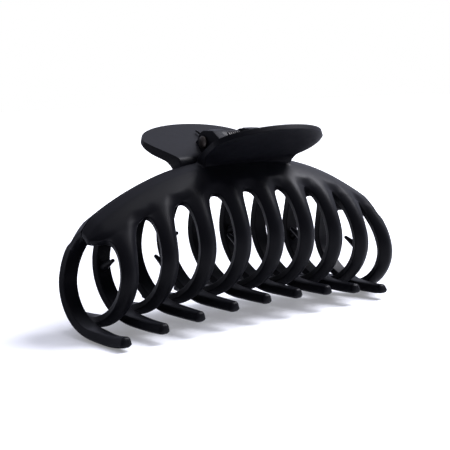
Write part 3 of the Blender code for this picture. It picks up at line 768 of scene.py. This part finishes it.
def with_leg_points(path, count):
    """Fill the two straight legs with evenly spaced points."""
    first = [path[0].lerp(path[1], i / count) for i in range(count)]
    last = [path[-2].lerp(path[-1], (i + 1) / count) for i in range(count)]
    return first + path[1:-1] + last


def spring_mesh():
    """Round wire along the spring's path, with its cut ends slightly rounded."""
    path = with_leg_points(spring_path(), LEG_STEPS)
    bm = bmesh.new()
    rings = []
    stations = [(path[0], path[0], WIRE_END_SIZE)]
    stations += [(point, None, 1.0) for point in path]
    stations += [(path[-1], path[-1], WIRE_END_SIZE)]
    for i, (centre, end, size) in enumerate(stations):
        k = min(max(i - 1, 0), len(path) - 1)
        ahead = path[min(k + 1, len(path) - 1)] - path[max(k - 1, 0)]
        across = Vector((1.0, 0.0, 0.0))
        across = (across - ahead * (across.dot(ahead) / ahead.length_squared)).normalized()
        outward = ahead.cross(across).normalized()
        place = centre
        if end is None and k in (0, len(path) - 1):
            place = centre + ahead.normalized() * (WIRE_END_INSET if k == 0 else -WIRE_END_INSET)
        ring = []
        for side in range(WIRE_SIDES):
            angle = 2 * math.pi * side / WIRE_SIDES
            offset = across * math.cos(angle) + outward * math.sin(angle)
            ring.append(bm.verts.new(place + WIRE_RADIUS * size * offset))
        rings.append(ring)
    for here, there in zip(rings[:-1], rings[1:]):
        for i in range(WIRE_SIDES):
            j = (i + 1) % WIRE_SIDES
            bm.faces.new([here[i], here[j], there[j], there[i]])
    bm.faces.new(rings[0])
    bm.faces.new(rings[-1])
    return finish_mesh("spring", bm, sharp_degrees=60.0)


# Materials ---------------------------------------------------------------------------------------

PLASTIC_COLOURS = (0.0011, 0.0011, 0.0020), (0.0019, 0.0019, 0.0030)
PIN_COLOURS = (0.085, 0.076, 0.069), (0.05, 0.041, 0.034)
WIRE_COLOURS = (0.07, 0.067, 0.065), (0.03, 0.028, 0.027)
# painted shade: the legs are the same wire as the coil, drawn near-black as they look in shade
LEG_PAINTED_SHADE = (0.008, 0.008, 0.009)
LEG_SHADE_FADE = (COIL_RADIUS + 0.6 * MM, COIL_RADIUS + 1.8 * MM)  # from the hinge axis, where the painted shade on the wire's legs fades in

class Nodes:
    """A material's node tree, with short calls for the nodes that the materials below share."""

    def __init__(self, name):
        self.material = bpy.data.materials.new(name)
        self.material.use_nodes = True
        self.tree = self.material.node_tree
        self.shader = self.tree.nodes["Principled BSDF"]
        coordinates = self.tree.nodes.new("ShaderNodeTexCoord")
        self.place = coordinates.outputs["Object"]

    def link(self, output, socket):
        self.tree.links.new(output, socket)

    def noise(self, size, detail=4.0, stretch=(1.0, 1.0, 1.0)):
        """Noise whose features are about this size, in metres."""
        mapping = self.tree.nodes.new("ShaderNodeMapping")
        mapping.inputs["Scale"].default_value = stretch
        self.link(self.place, mapping.inputs["Vector"])
        texture = self.tree.nodes.new("ShaderNodeTexNoise")
        texture.inputs["Scale"].default_value = 1.0 / size
        texture.inputs["Detail"].default_value = detail
        self.link(mapping.outputs["Vector"], texture.inputs["Vector"])
        return texture.outputs["Fac"]

    def spread(self, value, low, high, start=0.3, end=0.7):
        """A value stretched from start..end to low..high."""
        node = self.tree.nodes.new("ShaderNodeMapRange")
        node.inputs["From Min"].default_value = start
        node.inputs["From Max"].default_value = end
        node.inputs["To Min"].default_value = low
        node.inputs["To Max"].default_value = high
        self.link(value, node.inputs["Value"])
        return node.outputs["Result"]

    def colours(self, value, first, second):
        """A mix of two colours, of which the first may be another node's output."""
        node = self.tree.nodes.new("ShaderNodeMix")
        node.data_type = "RGBA"
        self.link(value, node.inputs["Factor"])
        if isinstance(first, tuple):
            node.inputs["A"].default_value = (*first, 1.0)
        else:
            self.link(first, node.inputs["A"])
        node.inputs["B"].default_value = (*second, 1.0)
        return node.outputs["Result"]

    def hinge_distance(self):
        """Distance from the hinge axis, which is the same at every opening of the jaws."""
        sideways = self.tree.nodes.new("ShaderNodeVectorMath")
        sideways.operation = "MULTIPLY_ADD"
        sideways.inputs[1].default_value = (0.0, 1.0, 1.0)
        sideways.inputs[2].default_value = (0.0, 0.0, -HINGE_HEIGHT)
        self.link(self.place, sideways.inputs[0])
        length = self.tree.nodes.new("ShaderNodeVectorMath")
        length.operation = "LENGTH"
        self.link(sideways.outputs["Vector"], length.inputs[0])
        return length.outputs["Value"]

    def bump(self, value, height, strength, below=None):
        """The surface raised and lowered by a noise value, on top of another bump if one is given."""
        node = self.tree.nodes.new("ShaderNodeBump")
        node.inputs["Distance"].default_value = height
        node.inputs["Strength"].default_value = strength
        self.link(value, node.inputs["Height"])
        if below is not None:
            self.link(below, node.inputs["Normal"])
        return node.outputs["Normal"]


def soft_touch_plastic():
    """Matt black plastic with a fine moulded grain, a faint sheen and slight mottling."""
    nodes = Nodes("jaw_soft_touch_black")
    shader = nodes.shader
    mottling = nodes.spread(nodes.noise(size=9.0 * MM), low=0.0, high=1.0)
    nodes.link(nodes.colours(mottling, *PLASTIC_COLOURS), shader.inputs["Base Color"])
    nodes.link(nodes.spread(nodes.noise(size=3.0 * MM), low=0.4, high=0.46), shader.inputs["Roughness"])
    waves = nodes.bump(nodes.noise(size=7.0 * MM, detail=1.0), height=0.05 * MM, strength=0.15)
    grain = nodes.noise(size=0.22 * MM, detail=2.0)
    nodes.link(nodes.bump(grain, height=0.02 * MM, strength=0.35, below=waves), shader.inputs["Normal"])
    shader.inputs["Specular IOR Level"].default_value = 0.085
    shader.inputs["Sheen Weight"].default_value = 0.02
    shader.inputs["Sheen Roughness"].default_value = 0.45
    shader.inputs["Sheen Tint"].default_value = (0.8, 0.85, 1.0, 1.0)
    return nodes.material


def plated_steel():
    """Dull plated steel of the pin, slightly browned, with turning marks round its axis."""
    nodes = Nodes("pin_plated_steel")
    shader = nodes.shader
    tarnish = nodes.spread(nodes.noise(size=1.1 * MM), low=0.0, high=1.0)
    nodes.link(nodes.colours(tarnish, *PIN_COLOURS), shader.inputs["Base Color"])
    nodes.link(nodes.spread(nodes.noise(size=0.7 * MM), low=0.28, high=0.46), shader.inputs["Roughness"])
    marks = nodes.noise(size=0.12 * MM, detail=2.0, stretch=(3.0, 0.6, 0.6))
    nodes.link(nodes.bump(marks, height=0.01 * MM, strength=0.4), shader.inputs["Normal"])
    shader.inputs["Metallic"].default_value = 1.0
    return nodes.material


def drawn_wire():
    """Drawn spring wire with fine lengthwise marks, and painted shade that darkens its legs."""
    nodes = Nodes("spring_drawn_wire")
    shader = nodes.shader
    shade = nodes.spread(nodes.noise(size=0.8 * MM), low=0.0, high=1.0)
    colour = nodes.colours(shade, *WIRE_COLOURS)
    # painted shade: away from the coil the wire's colour is mixed towards near-black
    leg_shade = nodes.spread(nodes.hinge_distance(), 0.0, 1.0, *LEG_SHADE_FADE)
    nodes.link(nodes.colours(leg_shade, colour, LEG_PAINTED_SHADE), shader.inputs["Base Color"])
    nodes.link(nodes.spread(nodes.noise(size=0.5 * MM), low=0.3, high=0.45), shader.inputs["Roughness"])
    marks = nodes.noise(size=0.08 * MM, detail=2.0, stretch=(4.0, 0.5, 0.5))
    nodes.link(nodes.bump(marks, height=0.008 * MM, strength=0.4), shader.inputs["Normal"])
    shader.inputs["Metallic"].default_value = 1.0
    return nodes.material


# Pieces ----------------------------------------------------------------------------------------


def add_piece(name, mesh, material, node):
    """A finished piece that stands for a CAD node."""
    mesh.materials.clear()
    mesh.materials.append(material)
    piece = add_object(name, mesh)
    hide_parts(node)
    return piece


def build_clip():
    plastic = soft_touch_plastic()
    front_mesh = jaw_mesh()
    rear_mesh = front_mesh.copy()
    rear_mesh.transform(Matrix.Rotation(math.pi, 4, "Z"))
    front = add_piece("front_jaw_moulding", front_mesh, plastic, "front_jaw")
    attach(front, "front_jaw")
    rear = add_piece("rear_jaw_moulding", rear_mesh, plastic, "rear_jaw")
    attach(rear, "rear_jaw")
    pin = add_piece("turned_pin", pin_mesh(), plated_steel(), "hinge_pin")
    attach(pin, "rear_jaw")
    spring = add_piece("coiled_spring", spring_mesh(), drawn_wire(), "torsion_spring")
    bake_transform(spring)


# Stage, light and camera -------------------------------------------------------------------------

CAMERA_AZIMUTH = math.radians(35.471)  # from +Y towards +X, the way the camera looks
CAMERA_ELEVATION = math.radians(6.345)
CAMERA_ROLL = math.radians(1.771)
CAMERA_DISTANCE = 352.8 * MM
CAMERA_TARGET = Vector((-1.26, 0.0, 30.63)) * MM
CAMERA_LENS = 93.73  # millimetres
CAMERA_SENSOR = 36.0  # millimetres
CAMERA_NEAR = 0.01  # nothing closer than this is drawn
CAMERA_SHIFT = (-0.01236, -0.02668)

FLOOR_SIZE = 3.0  # half the floor's side
FLOOR_DROP = 0.02 * MM
FLOOR_COLOUR = (0.66, 0.67, 0.7, 1.0)
FLOOR_FADE = (0.14, 0.32)  # distances from the middle where the floor starts and ends fading to white
FLOOR_GLOW = 0.22  # how much of the floor's whiteness near the clip doesn't depend on the light
SURROUND_COLOUR = (0.8, 0.82, 1.0, 1.0)
SURROUND_LIGHT = (0.1, 0.9)  # strength of the surround's light on the clip, on its dim and bright sides
BRIGHT_SIDE = (0.5, 0.1, 0.86)  # the direction that the surround is brightest in
DIM_SIDE = -0.6  # the cosine of the angle from that direction beyond which it gets no dimmer
LIGHT_TARGET = Vector((0.0, 0.0, 0.03))


def add_camera():
    azimuth, elevation = CAMERA_AZIMUTH, CAMERA_ELEVATION
    ahead = Vector((math.sin(azimuth), math.cos(azimuth), 0.0)) * math.cos(elevation)
    ahead.z = -math.sin(elevation)
    level = Vector((math.cos(azimuth), -math.sin(azimuth), 0.0))
    upright = level.cross(ahead)
    right = level * math.cos(CAMERA_ROLL) - upright * math.sin(CAMERA_ROLL)
    up = level * math.sin(CAMERA_ROLL) + upright * math.cos(CAMERA_ROLL)
    data = bpy.data.cameras.new("camera")
    data.sensor_width = CAMERA_SENSOR
    data.lens = CAMERA_LENS
    data.shift_x, data.shift_y = CAMERA_SHIFT
    data.clip_start = CAMERA_NEAR
    camera = add_object("camera", data)
    place = Matrix((right, up, -ahead)).transposed().to_4x4()
    place.translation = CAMERA_TARGET - ahead * CAMERA_DISTANCE
    camera.matrix_world = place
    bpy.context.scene.camera = camera


def add_softbox(name, place, size, power, colour):
    """A square area light that points at the clip."""
    data = bpy.data.lights.new(name, "AREA")
    data.shape = "SQUARE"
    data.size = size
    data.energy = power
    data.color = colour
    light = add_object(name, data)
    light.location = place
    light.rotation_euler = (LIGHT_TARGET - Vector(place)).to_track_quat("-Z", "Y").to_euler()


def add_floor():
    """A pale seamless floor that fades into the white surround away from the clip, through a painted glow
    that only the camera sees.
    """
    nodes = Nodes("stage_white")
    nodes.shader.inputs["Base Color"].default_value = FLOOR_COLOUR
    nodes.shader.inputs["Roughness"].default_value = 0.7
    nodes.shader.inputs["Specular IOR Level"].default_value = 0.2
    distance = nodes.tree.nodes.new("ShaderNodeVectorMath")
    distance.operation = "LENGTH"
    nodes.link(nodes.place, distance.inputs[0])
    fade = nodes.tree.nodes.new("ShaderNodeMapRange")
    fade.interpolation_type = "SMOOTHSTEP"
    fade.inputs["From Min"].default_value = FLOOR_FADE[0]
    fade.inputs["From Max"].default_value = FLOOR_FADE[1]
    fade.inputs["To Min"].default_value = FLOOR_GLOW
    nodes.link(distance.outputs["Value"], fade.inputs["Value"])
    # painted glow: emission that only camera rays see, weak near the clip and full far from it
    rays = nodes.tree.nodes.new("ShaderNodeLightPath")
    glow = nodes.tree.nodes.new("ShaderNodeMath")
    glow.operation = "MULTIPLY"
    nodes.link(fade.outputs["Result"], glow.inputs[0])
    nodes.link(rays.outputs["Is Camera Ray"], glow.inputs[1])
    nodes.link(glow.outputs["Value"], nodes.shader.inputs["Emission Strength"])
    nodes.shader.inputs["Emission Color"].default_value = (1.0, 1.0, 1.0, 1.0)
    bm = bmesh.new()
    bmesh.ops.create_grid(bm, x_segments=1, y_segments=1, size=FLOOR_SIZE)
    mesh = bpy.data.meshes.new("stage_floor")
    bm.to_mesh(mesh)
    bm.free()
    mesh.materials.append(nodes.material)
    floor = add_object("stage_floor", mesh)
    floor.location.z = -FLOOR_DROP


def add_world():
    """The surround: white where the camera sees it, and brighter from one side where it lights the clip."""
    world = bpy.data.worlds.new("white_surround")
    world.use_nodes = True
    tree = world.node_tree
    seen = tree.nodes["Background"]
    seen.inputs["Color"].default_value = (1.0, 1.0, 1.0, 1.0)
    lighting = tree.nodes.new("ShaderNodeBackground")
    lighting.inputs["Color"].default_value = SURROUND_COLOUR
    direction = tree.nodes.new("ShaderNodeTexCoord")
    towards_bright = tree.nodes.new("ShaderNodeVectorMath")
    towards_bright.operation = "DOT_PRODUCT"
    towards_bright.inputs[1].default_value = BRIGHT_SIDE
    tree.links.new(direction.outputs["Generated"], towards_bright.inputs[0])
    strength = tree.nodes.new("ShaderNodeMapRange")
    strength.inputs["From Min"].default_value = DIM_SIDE
    strength.inputs["To Min"].default_value = SURROUND_LIGHT[0]
    strength.inputs["To Max"].default_value = SURROUND_LIGHT[1]
    tree.links.new(towards_bright.outputs["Value"], strength.inputs["Value"])
    tree.links.new(strength.outputs["Result"], lighting.inputs["Strength"])
    rays = tree.nodes.new("ShaderNodeLightPath")
    either = tree.nodes.new("ShaderNodeMixShader")
    tree.links.new(rays.outputs["Is Camera Ray"], either.inputs["Fac"])
    tree.links.new(lighting.outputs["Background"], either.inputs[1])
    tree.links.new(seen.outputs["Background"], either.inputs[2])
    tree.links.new(either.outputs["Shader"], tree.nodes["World Output"].inputs["Surface"])
    bpy.context.scene.world = world


def build_stage():
    add_floor()
    add_world()
    add_softbox("key_above", place=(0.45, -0.11, 0.62), size=0.45, power=12.4, colour=(0.93, 0.93, 1.0))
    add_softbox("overhead", place=(-0.04, -0.02, 0.75), size=0.15, power=0.6, colour=(1.0, 1.0, 1.0))
    bpy.context.scene.view_settings.view_transform = "Standard"
    add_camera()


build_clip()
build_stage()
